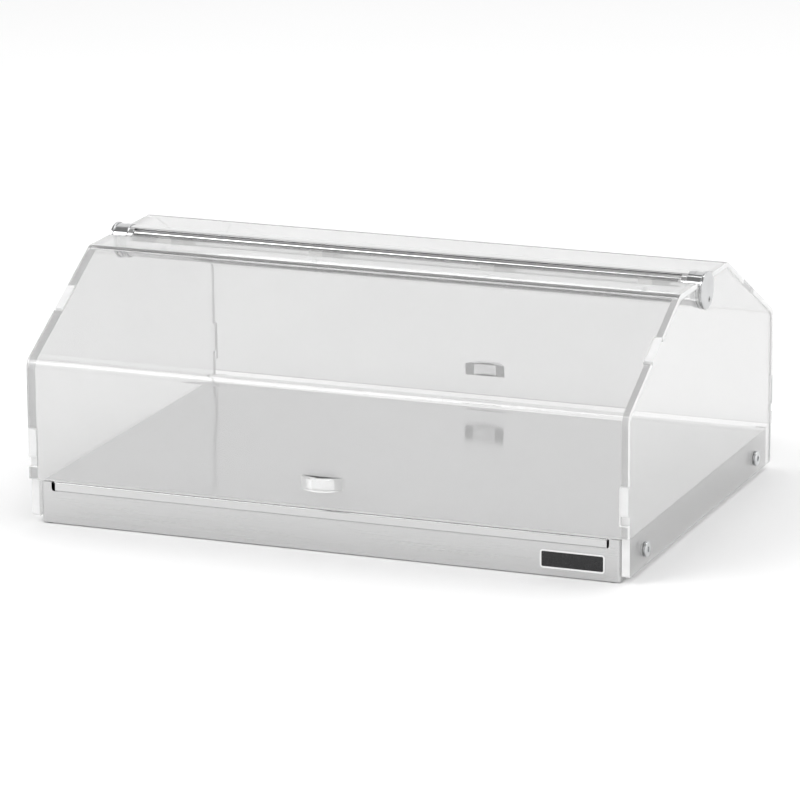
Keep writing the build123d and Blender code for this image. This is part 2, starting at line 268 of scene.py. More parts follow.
@dataclass(frozen=True)
class ClearStock:
    """The finishes of clear pieces: the sheet's faces, its cut edges and small solid blocks; the edge and
    block finishes carry a painted glow.
    """

    face: bpy.types.Material
    edge: bpy.types.Material
    block: bpy.types.Material


@dataclass(frozen=True)
class PlainFinish:
    """Moulded plastic, rubber or enamel with a fine mottle."""

    name: str
    dark: Sequence[float]
    light: Sequence[float]
    smooth: float
    rough: float
    scale: float = 900.0
    bump_height: float = 0.00005

    def make(self) -> bpy.types.Material:
        """Wire the material.

        Returns:
            The finished material.
        """
        sheet = NodeSheet.blank(self.name)
        mottle = sheet.grain((self.scale, self.scale, self.scale), 2.0)
        sheet.blend(mottle, self.dark, self.light)
        sheet.link(sheet.spread(mottle, self.smooth, self.rough), sheet.shader.inputs["Roughness"])
        sheet.bump(mottle, 0.2, self.bump_height)
        return sheet.material


BRUSHED = SteelFinish("brushed_steel", (0.595, 0.595, 0.595), (0.62, 0.62, 0.62), 0.26, 0.32,
                      (9.0, 1800.0, 1800.0), 0.000002, 0.05)
SHELF_STEEL = SteelFinish("shelf_steel", (0.635, 0.635, 0.635), (0.65, 0.65, 0.65), 0.095, 0.11,
                          (1.5, 60.0, 60.0), 0.000001, 0.002)
TUBE_STEEL = SteelFinish("tube_steel", (0.74, 0.74, 0.74), (0.80, 0.80, 0.80), 0.12, 0.2,
                         (4.0, 900.0, 900.0), 0.000003)
POLISHED = SteelFinish("polished_steel", (0.50, 0.505, 0.51), (0.60, 0.605, 0.61), 0.05, 0.11,
                       (60.0, 60.0, 60.0))
DARK_SCREW = SteelFinish("dark_screw_steel", (0.16, 0.16, 0.16), (0.26, 0.26, 0.26), 0.2, 0.3,
                         (300.0, 300.0, 300.0))
FASTENER = SteelFinish("fastener_steel", (0.60, 0.61, 0.62), (0.72, 0.73, 0.74), 0.12, 0.22,
                       (300.0, 300.0, 300.0))
ACRYLIC = AcrylicFinish("clear_acrylic", (0.912, 0.912, 0.912), (0.928, 0.928, 0.928))
# The cut edge takes the default painted glow of 0.08: a white emission on the edges.
CUT_EDGE = CutEdgeFinish("acrylic_cut_edge", (0.88, 0.88, 0.88), (0.95, 0.95, 0.95))
# The block finish for the handles has a painted glow of 0.10: a white emission of its own.
BLOCK_ACRYLIC = CutEdgeFinish("acrylic_block", (0.92, 0.92, 0.92), (0.98, 0.98, 0.98), 0.75, 0.10)
NYLON = PlainFinish("white_nylon", (0.62, 0.62, 0.60), (0.72, 0.72, 0.70), 0.35, 0.5)
RUBBER = PlainFinish("foot_rubber", (0.015, 0.015, 0.015), (0.03, 0.03, 0.03), 0.6, 0.8)
BLACK = PlainFinish("badge_black", (0.006, 0.006, 0.007), (0.014, 0.014, 0.015), 0.2, 0.32)
RIM = PlainFinish("badge_rim", (0.80, 0.80, 0.80), (0.88, 0.88, 0.88), 0.3, 0.4)


# ---------------------------------------------------------------- the workbench
class Bench:
    """Modelling steps that every sub-assembly uses."""

    @staticmethod
    def clear() -> None:
        """Leave edit mode and deselect everything."""
        if bpy.context.mode != "OBJECT":
            bpy.ops.object.mode_set(mode="OBJECT")
        bpy.ops.object.select_all(action="DESELECT")

    @staticmethod
    def only(piece: bpy.types.Object) -> None:
        """Make one piece the only selected and active one."""
        Bench.clear()
        piece.select_set(True)
        bpy.context.view_layer.objects.active = piece

    @staticmethod
    def named(name: str) -> bpy.types.Object:
        """Give the active object its name and apply its place."""
        piece = bpy.context.active_object
        piece.name = name
        piece.data.name = name
        bpy.ops.object.transform_apply(location=True, rotation=True, scale=True)
        return piece

    @staticmethod
    def block(name: str, low: Point, high: Point) -> bpy.types.Object:
        """A cuboid between two corners.

        Args:
            name: Name of the new object.
            low: Lowest corner.
            high: Highest corner.

        Returns:
            The new object.
        """
        Bench.clear()
        size = [b - a for a, b in zip(low, high)]
        middle = [(a + b) / 2 for a, b in zip(low, high)]
        bpy.ops.mesh.primitive_cube_add(size=1.0, location=middle, scale=size)
        return Bench.named(name)

    @staticmethod
    def drum(name: str, centre: Point, radius: float, length: float, axis: Point,
             corners: int = 96) -> bpy.types.Object:
        """A cylinder or prism about an axis.

        Args:
            name: Name of the new object.
            centre: Middle of the cylinder.
            radius: Radius to the corners.
            length: Length along the axis.
            axis: Direction of the axis.
            corners: Number of corners.

        Returns:
            The new object.
        """
        Bench.clear()
        turn = Vector((0, 0, 1)).rotation_difference(Vector(axis)).to_euler()
        bpy.ops.mesh.primitive_cylinder_add(
            vertices=corners, radius=radius, depth=length, location=centre, rotation=turn)
        return Bench.named(name)

    @staticmethod
    def modify(piece: bpy.types.Object, kind: str, **settings: object) -> None:
        """Add a modifier, set it and apply it.

        Args:
            piece: Object to change.
            kind: Identifier of the modifier type.
            settings: Properties of the modifier.
        """
        Bench.only(piece)
        modifier = piece.modifiers.new("step", kind)
        for name, value in settings.items():
            setattr(modifier, name, value)
        bpy.ops.object.modifier_apply(modifier=modifier.name)

    @staticmethod
    def boolean(piece: bpy.types.Object, tool: bpy.types.Object, operation: str) -> None:
        """Cut or join a tool shape and remove the tool.

        Args:
            piece: Object to change.
            tool: Shape that cuts or joins.
            operation: DIFFERENCE or UNION.
        """
        Bench.modify(piece, "BOOLEAN", operation=operation, object=tool, solver="EXACT")
        bpy.data.objects.remove(tool, do_unlink=True)

    @staticmethod
    def bevel(piece: bpy.types.Object, width: float, segments: int = 3, angle: float = 35.0) -> None:
        """Round the sharp edges of a piece.

        Args:
            piece: Object to change.
            width: Width of the rounding.
            segments: Number of faces across it.
            angle: Least angle of an edge that is rounded, in degrees.
        """
        Bench.modify(piece, "BEVEL", width=width, segments=segments, limit_method="ANGLE",
                     angle_limit=radians(angle), harden_normals=False, use_clamp_overlap=True)

    @staticmethod
    def bevel_edges(piece: bpy.types.Object, wanted: Callable[[Vector, Vector], bool],
                    radius: float, segments: int = 8) -> None:
        """Round the edges that a test picks.

        Args:
            piece: Object to change.
            wanted: Test of an edge's middle and direction.
            radius: Radius of the rounding.
            segments: Number of faces across it.
        """
        Bench.only(piece)
        bpy.ops.object.mode_set(mode="EDIT")
        bpy.ops.mesh.select_mode(type="EDGE")
        bpy.ops.mesh.select_all(action="DESELECT")
        bpy.ops.object.mode_set(mode="OBJECT")
        points = piece.data.vertices
        for edge in piece.data.edges:
            a, b = points[edge.vertices[0]].co, points[edge.vertices[1]].co
            edge.select = wanted((a + b) / 2, (b - a).normalized())
        bpy.ops.object.mode_set(mode="EDIT")
        bpy.ops.mesh.bevel(offset=radius, offset_type="OFFSET", segments=segments, affect="EDGES")
        bpy.ops.object.mode_set(mode="OBJECT")

    @staticmethod
    def pick_faces(piece: bpy.types.Object, wanted: Callable[[Vector, Vector], bool]) -> None:
        """Enter edit mode with the faces selected that a test picks.

        Args:
            piece: Object to edit.
            wanted: Test of a face's middle and normal.
        """
        Bench.only(piece)
        bpy.ops.object.mode_set(mode="EDIT")
        bpy.ops.mesh.select_mode(type="FACE")
        bpy.ops.mesh.select_all(action="DESELECT")
        bpy.ops.object.mode_set(mode="OBJECT")
        for face in piece.data.polygons:
            face.select = wanted(face.center, face.normal)
        bpy.ops.object.mode_set(mode="EDIT")

    @staticmethod
    def reflect(piece: bpy.types.Object, scale: Point) -> None:
        """Turn a piece into its mirror image about the origin and point its faces outwards.

        Args:
            piece: Object to change.
            scale: Minus one along the mirrored axis.
        """
        Bench.only(piece)
        bpy.ops.transform.resize(value=scale, center_override=(0, 0, 0))
        bpy.ops.object.transform_apply(location=True, rotation=True, scale=True)
        bpy.ops.object.mode_set(mode="EDIT")
        bpy.ops.mesh.select_all(action="SELECT")
        bpy.ops.mesh.normals_make_consistent(inside=False)
        bpy.ops.object.mode_set(mode="OBJECT")

    @staticmethod
    def join(pieces: Sequence[bpy.types.Object], name: str) -> bpy.types.Object:
        """Make several objects one.

        Args:
            pieces: Objects to join.
            name: Name of the result.

        Returns:
            The joined object.
        """
        Bench.clear()
        for piece in pieces:
            piece.select_set(True)
        bpy.context.view_layer.objects.active = pieces[0]
        bpy.ops.object.join()
        return Bench.named(name)

    @staticmethod
    def paint(piece: bpy.types.Object, face_finish: bpy.types.Material, edge_finish: bpy.types.Material,
              is_edge: Callable[[bpy.types.MeshPolygon], bool]) -> None:
        """Give a clear piece its two finishes: the polished faces and the cut edges.

        Args:
            piece: Object to paint.
            face_finish: Material of the faces.
            edge_finish: Material of the cut edges.
            is_edge: Test of a face.
        """
        piece.data.materials.append(face_finish)
        piece.data.materials.append(edge_finish)
        for face in piece.data.polygons:
            face.material_index = int(is_edge(face))

    @staticmethod
    def done(piece: bpy.types.Object, finish: bpy.types.Material, body: str,
             nodes: Sequence[str], angle: float = 30.0) -> bpy.types.Object:
        """Dress a finished piece and tie it to its body.

        Args:
            piece: Finished object.
            finish: Its material.
            body: Body it moves with.
            nodes: CAD nodes it stands for.
            angle: Angle above which an edge stays sharp, in degrees.

        Returns:
            The piece.
        """
        Bench.only(piece)
        bpy.ops.object.shade_smooth_by_angle(angle=radians(angle))
        Bench.modify(piece, "WEIGHTED_NORMAL", mode="FACE_AREA", weight=100, keep_sharp=True)
        if not piece.data.materials:
            piece.data.materials.append(finish)
        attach(piece, body)
        if nodes:
            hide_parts(*nodes)
        LOG.info("%s: %d faces on %s", piece.name, len(piece.data.polygons), body)
        return piece


@dataclass
class BentSheet:
    """A strip of sheet drawn along a path of straights and bends in the YZ plane."""

    width: float
    thickness: float
    start: Pair
    heading: float
    steps_per_bend: int = 12

    def build(self, name: str, moves: Sequence[tuple[str, float, float]]) -> bpy.types.Object:
        """Extrude and spin the strip along its path.

        Args:
            name: Name of the new object.
            moves: ("straight", length, 0) or ("bend", outer radius, degrees to the right).

        Returns:
            The new object, with its outer face along the path's left.
        """
        Bench.clear()
        y, z = self.start
        heading = radians(self.heading)
        right = (sin(heading), -cos(heading))
        middle = (0.0, y + right[0] * self.thickness / 2, z + right[1] * self.thickness / 2)
        bpy.ops.mesh.primitive_plane_add(size=1.0, location=middle, rotation=(heading - pi / 2, 0, 0),
                                         scale=(1, 1, 1))
        piece = Bench.named(name)
        bpy.ops.object.mode_set(mode="EDIT")
        bpy.ops.mesh.select_all(action="SELECT")
        bpy.ops.transform.resize(value=(self.width, self.thickness, 1.0), center_override=middle)
        for kind, size, turn in moves:
            ahead = (cos(heading), sin(heading))
            right = (sin(heading), -cos(heading))
            if kind == "straight":
                bpy.ops.mesh.extrude_region_move(
                    TRANSFORM_OT_translate={"value": (0.0, ahead[0] * size, ahead[1] * size)})
                y, z = y + ahead[0] * size, z + ahead[1] * size
                continue
            centre = (y + right[0] * size, z + right[1] * size)
            bpy.ops.mesh.spin(steps=self.steps_per_bend, angle=radians(turn),
                              center=(0.0, centre[0], centre[1]), axis=(1.0, 0.0, 0.0))
            heading -= radians(turn)
            right = (sin(heading), -cos(heading))
            y, z = centre[0] - right[0] * size, centre[1] - right[1] * size
        bpy.ops.mesh.select_all(action="SELECT")
        bpy.ops.mesh.remove_doubles(threshold=0.000001)
        bpy.ops.mesh.normals_make_consistent(inside=False)
        bpy.ops.object.mode_set(mode="OBJECT")
        return piece


# ---------------------------------------------------------------- the case's sub-assemblies
@dataclass
class SteelBase:
    """The folded frame, the shelf on it, its feet and its badge."""

    sheet: float = 0.0015
    flange: float = 0.015
    corner: float = 0.003
    wall_top: float = 0.0332
    side_top: float = 0.041
    tab_width: float = 0.011
    tab_round: float = 0.003
    shelf_sheet: float = 0.001
    shelf_bend: float = 0.002
    shelf_flange: float = 0.012
    lip_gap: float = 0.003
    edge: float = 0.0003

    def frame(self) -> bpy.types.Object:
        """The folded frame.

        Returns:
            The finished piece.
        """
        low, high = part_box("base_frame")
        piece = Bench.block("base_frame_folded", tuple(low), tuple(high))
        Bench.bevel_edges(piece, lambda middle, way: abs(way.z) > 0.9, self.corner, 6)
        hollow = Bench.block("hollow", (low[0] + self.sheet, low[1] + self.sheet, low[2] + self.sheet),
                             (high[0] - self.sheet, high[1] - self.sheet, high[2] * 2))
        Bench.bevel_edges(hollow, lambda middle, way: abs(way.z) > 0.9, self.corner - self.sheet, 6)
        Bench.boolean(piece, hollow, "DIFFERENCE")
        mouth = Bench.block("mouth", (low[0] + self.flange, low[1] + self.flange, -high[2]),
                            (high[0] - self.flange, high[1] - self.flange, high[2] / 2))
        Bench.boolean(piece, mouth, "DIFFERENCE")
        half = high[0] - self.tab_width
        recess = Bench.block("recess", (-half, low[1] * 1.2, self.wall_top),
                             (half, high[1] * 1.2, high[2] * 2))
        Bench.bevel_edges(recess, lambda middle, way: abs(way.y) > 0.9 and middle.z < high[2],
                          self.tab_round, 6)
        Bench.boolean(piece, recess, "DIFFERENCE")
        inner = high[1] - self.sheet - 0.0002
        level = Bench.block("level", (low[0] * 1.2, -inner, self.side_top),
                            (high[0] * 1.2, inner, high[2] * 2))
        Bench.boolean(piece, level, "DIFFERENCE")
        reach = inner - self.shelf_bend - self.shelf_sheet
        wall = high[0] - self.sheet / 2
        for side in Side:
            near, far = side.value * (wall - self.shelf_flange), side.value * wall
            ledge = Bench.block("ledge", (min(near, far), -reach, self.side_top - self.sheet),
                                (max(near, far), reach, self.side_top))
            Bench.boolean(piece, ledge, "UNION")
        for place in (-0.170, 0.170):
            hole = Bench.drum("hole", (0, place, 0.022), 0.00275, 0.8, (1, 0, 0), 48)
            Bench.boolean(piece, hole, "DIFFERENCE")
        Bench.bevel(piece, self.edge, 2)
        return Bench.done(piece, BRUSHED.make(), "case", ["base_frame"])

    def shelf(self) -> bpy.types.Object:
        """The shelf with its folded lips.

        Returns:
            The finished piece.
        """
        low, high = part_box("shelf_plate")
        run = self.shelf_bend
        sheet = BentSheet(high[0] - low[0], self.shelf_sheet, (low[1], low[2]), 90.0, 8)
        piece = sheet.build("shelf_plate_bent", [
            ("straight", high[2] - low[2] - run, 0), ("bend", run, 90.0),
            ("straight", high[1] - low[1] - 2 * run, 0), ("bend", run, 90.0),
            ("straight", high[2] - low[2] - run, 0)])
        lip_half = high[0] - self.tab_width - self.lip_gap
        for side in Side:
            for end in Facing:
                x = sorted((side.value * lip_half, side.value * high[0] * 1.2))
                y = sorted((end.value * (high[1] - run), end.value * high[1] * 1.2))
                corner = Bench.block("corner", (x[0], y[0], low[2] / 2), (x[1], y[1], high[2] * 2))
                Bench.boolean(piece, corner, "DIFFERENCE")
        Bench.bevel(piece, self.edge, 2)
        return Bench.done(piece, SHELF_STEEL.make(), "case", ["shelf_plate"])

    def feet(self) -> bpy.types.Object:
        """The four rubber feet.

        Returns:
            The finished piece.
        """
        low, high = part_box("foot_pads")
        radius = 0.006
        pads = []
        for x in (low[0] + radius, high[0] - radius):
            for y in (low[1] + radius, high[1] - radius):
                pads.append(Bench.drum("pad", (x, y, high[2] / 2), radius, high[2], (0, 0, 1), 48))
        piece = Bench.join(pads, "foot_pads_round")
        Bench.bevel(piece, 0.0003, 3)
        return Bench.done(piece, RUBBER.make(), "case", ["foot_pads"])

    def badge(self) -> bpy.types.Object:
        """The plain badge: a dark field in a thin bright rim.

        Returns:
            The finished piece.
        """
        low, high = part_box("badge")
        piece = Bench.block("badge_plate", tuple(low), tuple(high))
        Bench.bevel_edges(piece, lambda middle, way: abs(way.y) > 0.9, 0.003, 8)
        Bench.pick_faces(piece, lambda middle, normal: normal.y < -0.9)
        bpy.ops.mesh.inset(thickness=0.0013, use_boundary=True)
        bpy.ops.mesh.inset(thickness=0.0003, depth=-0.0004, use_boundary=True)
        bpy.ops.object.mode_set(mode="OBJECT")
        piece.data.materials.append(RIM.make())
        piece.data.materials.append(BLACK.make())
        for face in piece.data.polygons:
            if face.normal.y < -0.9 and face.center.y > low[1] + 0.0003:
                face.material_index = 1
        Bench.bevel(piece, 0.00015, 2)
        return Bench.done(piece, BLACK.make(), "case", ["badge"])

    def build(self) -> None:
        """Build every piece of the base."""
        self.frame()
        self.shelf()
        self.feet()
        self.badge()


@dataclass
class FlapShape:
    """Where the flap's outer face runs, seen from the side."""

    bend_height: float = 0.164
    slope_run: float = 0.150
    slope_rise: float = 0.083
    thickness: float = 0.005
    bend: float = 0.012

    @property
    def slope(self) -> float:
        """Angle of the slope above the horizontal, in degrees."""
        return Vector((1.0, 0.0)).angle(Vector((self.slope_run, self.slope_rise))) * 180 / pi

    @property
    def slope_length(self) -> float:
        """Length of the slope between its corners."""
        return Vector((self.slope_run, self.slope_rise)).length

    def on_slope(self, half_depth: float, along: float, inset: float) -> Pair:
        """A point on or under the slope.

        Args:
            half_depth: Distance of the upright face from the middle of the case.
            along: Distance along the slope from its lower corner.
            inset: Distance under the outer face.

        Returns:
            Its Y and Z.
        """
        way = (cos(radians(self.slope)), sin(radians(self.slope)))
        return (-half_depth + along * way[0] + inset * way[1],
                self.bend_height + along * way[1] - inset * way[0])


@dataclass
class Flap:
    """A clear flap with its hinge rod and handle. It is built as the front one and mirrored."""

    facing: Facing
    shape: FlapShape
    upright_notch: Pair = (0.058, 0.0966)
    slope_notch: Pair = (0.075, 0.1116)
    notch_x: float = 0.3015
    shoulder: Pair = (0.2947, 0.021)
    neck: Pair = (0.2895, 0.0186)
    edge: float = 0.0004

    def name(self, piece: str) -> str:
        """Name of the CAD node for one of this flap's pieces."""
        return f"{self.facing.name.lower()}_{piece}"

    def turned(self, piece: bpy.types.Object) -> bpy.types.Object:
        """The piece as it is, or mirrored to the rear."""
        if self.facing is Facing.REAR:
            Bench.reflect(piece, (1, -1, 1))
        return piece

    def pane(self, stock: ClearStock) -> bpy.types.Object:
        """The bent pane with its notches.

        Args:
            stock: The clear sheet's finishes.

        Returns:
            The finished piece.
        """
        low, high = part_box("front_flap_pane")
        shape, half = self.shape, -low[1]
        lower = shape.bend * tan(radians(90 - shape.slope) / 2)
        upper = shape.bend * tan(radians(shape.slope) / 2)
        sheet = BentSheet(high[0] - low[0], shape.thickness, (low[1], low[2]), 90.0, 14)
        piece = sheet.build(self.name("flap_pane_bent"), [
            ("straight", shape.bend_height - low[2] - lower, 0),
            ("bend", shape.bend, 90.0 - shape.slope),
            ("straight", shape.slope_length - lower - upper, 0),
            ("bend", shape.bend, shape.slope),
            ("straight", half - shape.slope_run - upper + high[1], 0)])
        middle = shape.on_slope(half, sum(self.slope_notch) / 2, shape.thickness / 2)
        for side in Side:
            x = sorted((side.value * self.notch_x, side.value * high[0] * 1.2))
            upright = Bench.block("upright_notch", (x[0], -half * 1.1, self.upright_notch[0]),
                                  (x[1], -half * 0.9, self.upright_notch[1]))
            Bench.boolean(piece, upright, "DIFFERENCE")
            run = (self.slope_notch[1] - self.slope_notch[0]) / 2
            slope = Bench.block("slope_notch", (x[0], -run, -0.02), (x[1], run, 0.02))
            turn = Matrix.Rotation(radians(shape.slope), 4, "X")
            slope.data.transform(Matrix.Translation((0, *middle)) @ turn)
            Bench.boolean(piece, slope, "DIFFERENCE")
            for inner, start in (self.shoulder, self.neck):
                x = sorted((side.value * inner, side.value * high[0] * 1.2))
                step = Bench.block("step", (x[0], -start, high[2] - 0.02), (x[1], 0.05, high[2] + 0.02))
                Bench.boolean(piece, step, "DIFFERENCE")
        Bench.bevel(piece, self.edge, 3)
        Bench.paint(piece, stock.face, stock.edge, lambda face: abs(face.normal.x) > 0.3
                    or face.area < 0.0001 or (face.center.z < low[2] + 0.001 and face.normal.z < -0.3))
        return Bench.done(self.turned(piece), stock.face, self.name("flap"), [self.name("flap_pane")], 20)

    def rod(self) -> bpy.types.Object:
        """The hinge rod, slotted for the pane, with a journal at each end.

        Returns:
            The finished piece.
        """
        low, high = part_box("front_hinge_rod")
        centre = ((low[1] + high[1]) / 2, (low[2] + high[2]) / 2)
        journal, shoulder, radius = 0.003, 0.3003, (high[2] - low[2]) / 2
        piece = Bench.drum(self.name("hinge_rod_bar"), (0, *centre), radius, 2 * shoulder, (1, 0, 0), 64)
        Bench.pick_faces(piece, lambda middle, normal: abs(normal.x) > 0.9)
        bpy.ops.mesh.inset(thickness=radius - journal, use_boundary=True, use_individual=True)
        bpy.ops.object.mode_set(mode="OBJECT")
        for side in Side:
            Bench.pick_faces(piece, lambda middle, normal, side=side: normal.x * side.value > 0.9
                             and (middle - Vector((side.value * shoulder, *centre))).length < 0.0005)
            bpy.ops.mesh.extrude_region_move(
                TRANSFORM_OT_translate={"value": (side.value * (high[0] - shoulder), 0, 0)})
            bpy.ops.object.mode_set(mode="OBJECT")
        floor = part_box("front_flap_pane")[1][1]
        slot = Bench.block("slot", (-0.290, low[1] * 2, centre[1] - self.shape.thickness / 2),
                           (0.290, floor, centre[1] + self.shape.thickness / 2))
        Bench.boolean(piece, slot, "DIFFERENCE")
        Bench.bevel(piece, 0.0002, 2, 50)
        return Bench.done(self.turned(piece), TUBE_STEEL.make(), self.name("flap"), [self.name("hinge_rod")])

    def handle(self, stock: ClearStock) -> bpy.types.Object:
        """The clear finger loop on the pane.

        Args:
            stock: The clear sheet's finishes.

        Returns:
            The finished piece.
        """
        low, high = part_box("front_handle")
        half, depth = high[0], high[1] - low[1]
        radius = (half * half + depth * depth) / (2 * depth)
        height = (low[2] + high[2]) / 2
        piece = Bench.drum(self.name("handle_loop"), (0, low[1] + radius, height), radius, high[2] - low[2],
                           (0, 0, 1), 256)
        back = Bench.block("back", (-1, high[1], -1), (1, high[1] + 1, 1))
        Bench.boolean(piece, back, "DIFFERENCE")
        half_opening, reach = 0.012, 0.007
        radius = (half_opening ** 2 + reach ** 2) / (2 * reach)
        opening = Bench.drum("opening", (0, high[1] - reach + radius, height), radius, 0.05, (0, 0, 1), 128)
        Bench.boolean(piece, opening, "DIFFERENCE")
        Bench.bevel(piece, 0.0008, 4, 50)
        return Bench.done(self.turned(piece), stock.block, self.name("flap"), [self.name("handle")])

    def build(self, stock: ClearStock) -> None:
        """Build every piece of the flap."""
        self.pane(stock)
        self.rod()
        self.handle(stock)


@dataclass
class SidePanel:
    """A clear side panel with its tabs, its hub notch and its screws."""

    side: Side
    shape: FlapShape
    gap: float = 0.0003
    upright_tab: Pair = (0.066, 0.096)
    slope_tab: Pair = (0.078, 0.111)
    screw_places: Pair = (-0.170, 0.170)
    screw_z: float = 0.022
    hub: Pair = (0.0, 0.2355)
    hub_radius: float = 0.018
    edge: float = 0.0004

    def name(self, piece: str) -> str:
        """Name of the CAD node for one of this panel's pieces."""
        return f"{self.side.name.lower()}_{piece}"

    def panel(self, stock: ClearStock) -> bpy.types.Object:
        """The panel itself.

        Args:
            stock: The clear sheet's finishes.

        Returns:
            The finished piece.
        """
        low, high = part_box(self.name("side_panel"))
        shape, inset = self.shape, self.shape.thickness + self.gap
        pane_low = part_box("front_flap_pane")[0]
        half = -pane_low[1]
        piece = Bench.block(self.name("side_panel_clear"), (low[0], -half + inset, low[2]),
                            (high[0], half - inset, high[2]))
        rise = sin(radians(shape.slope)), cos(radians(shape.slope))
        for facing in Facing:
            y, z = shape.on_slope(half, 0.05, inset)
            Bench.only(piece)
            bpy.ops.object.mode_set(mode="EDIT")
            bpy.ops.mesh.select_all(action="SELECT")
            bpy.ops.mesh.bisect(plane_co=(0, -facing.value * y, z),
                                plane_no=(0, facing.value * rise[0], rise[1]),
                                use_fill=True, clear_outer=True)
            bpy.ops.object.mode_set(mode="OBJECT")
        Bench.bevel_edges(piece, lambda middle, way: abs(way.x) > 0.9 and middle.z > 0.1,
                          shape.bend - inset, 10)
        Bench.bevel_edges(piece, lambda middle, way: abs(way.x) > 0.9 and middle.z < 0.02, 0.003, 6)
        for facing in Facing:
            y = sorted((facing.value * (half - self.gap), facing.value * (half - 2 * inset)))
            upright = Bench.block("upright_tab", (low[0], y[0], self.upright_tab[0]),
                                  (high[0], y[1], self.upright_tab[1]))
            Bench.bevel_edges(upright, lambda middle, way, facing=facing: abs(way.x) > 0.9
                              and middle.z < 0.07 and middle.y * facing.value > half - inset, 0.004, 8)
            Bench.boolean(piece, upright, "UNION")
            run = (self.slope_tab[1] - self.slope_tab[0]) / 2
            y, z = shape.on_slope(half, sum(self.slope_tab) / 2, self.gap + inset)
            slope = Bench.block("slope_tab", (low[0], -run, -inset), (high[0], run, inset))
            slope.data.transform(Matrix.Translation((0, -facing.value * y, z))
                                 @ Matrix.Rotation(-facing.value * radians(shape.slope), 4, "X"))
            Bench.boolean(piece, slope, "UNION")
        middle_x = (low[0] + high[0]) / 2
        notch = Bench.drum("notch", (middle_x, *self.hub), self.hub_radius, 0.02, (1, 0, 0), 128)
        Bench.boolean(piece, notch, "DIFFERENCE")
        mouth = self.hub_radius - 2 * self.gap
        Bench.boolean(piece, Bench.block("mouth", (middle_x - 0.01, -mouth, self.hub[1]),
                                         (middle_x + 0.01, mouth, 0.3)), "DIFFERENCE")
        for place in self.screw_places:
            hole = Bench.drum("hole", (middle_x, place, self.screw_z), 0.00275, 0.02, (1, 0, 0), 48)
            Bench.boolean(piece, hole, "DIFFERENCE")
        Bench.bevel(piece, self.edge, 3)
        Bench.paint(piece, stock.face, stock.edge, lambda face: abs(face.normal.x) < 0.9)
        return Bench.done(piece, stock.face, "case", [self.name("side_panel")], 20)

    def screws(self) -> bpy.types.Object:
        """The flat-headed screws.

        Returns:
            The finished piece.
        """
        low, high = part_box(self.name("panel_screws"))
        out = self.side.value
        tip, end = (high[0], low[0]) if out > 0 else (low[0], high[0])
        seat, radius = out * 0.310, 0.0075
        parts = []
        for place in self.screw_places:
            head = Bench.drum("head", ((tip + seat) / 2, place, self.screw_z), radius,
                              abs(tip - seat), (1, 0, 0), 72)
            Bench.bevel_edges(head, lambda middle, way, tip=tip: abs(middle.x - tip) < 0.0001
                              and abs(way.x) < 0.1, 0.0009, 4)
            socket = Bench.drum("socket", (tip, place, self.screw_z), 0.003, 0.0028, (1, 0, 0), 6)
            Bench.boolean(head, socket, "DIFFERENCE")
            shank = Bench.drum("shank", ((end + seat) / 2, place, self.screw_z), 0.0025,
                               abs(end - seat), (1, 0, 0), 40)
            Bench.boolean(head, shank, "UNION")
            parts.append(head)
        piece = Bench.join(parts, self.name("panel_screws_turned"))
        Bench.bevel(piece, 0.00015, 2, 50)
        return Bench.done(piece, FASTENER.make(), "case", [self.name("panel_screws")])

    def rings(self, node: str, radius: float, corners: int, bore: float) -> bpy.types.Object:
        """Spacers or nuts: a ring at each screw.

        Args:
            node: Name of the CAD node without its side.
            radius: Outer radius.
            corners: Number of corners outside.
            bore: Radius of the hole.

        Returns:
            The finished piece.
        """
        low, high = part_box(self.name(node))
        middle = (low[0] + high[0]) / 2
        parts = []
        for place in self.screw_places:
            ring = Bench.drum("ring", (middle, place, self.screw_z), radius,
                              high[0] - low[0], (1, 0, 0), corners)
            hole = Bench.drum("hole", (middle, place, self.screw_z), bore, 0.02, (1, 0, 0), 48)
            Bench.boolean(ring, hole, "DIFFERENCE")
            parts.append(ring)
        piece = Bench.join(parts, self.name(node + "_cut"))
        Bench.bevel(piece, 0.0002, 2, 50)
        return Bench.done(piece, FASTENER.make(), "case", [self.name(node)])

    def build(self, stock: ClearStock) -> None:
        """Build every piece of the panel."""
        self.panel(stock)
        self.screws()
        self.rings("panel_spacers", 0.0075, 72, 0.00275)
        self.rings("weld_nuts", 0.0046, 6, 0.0025)


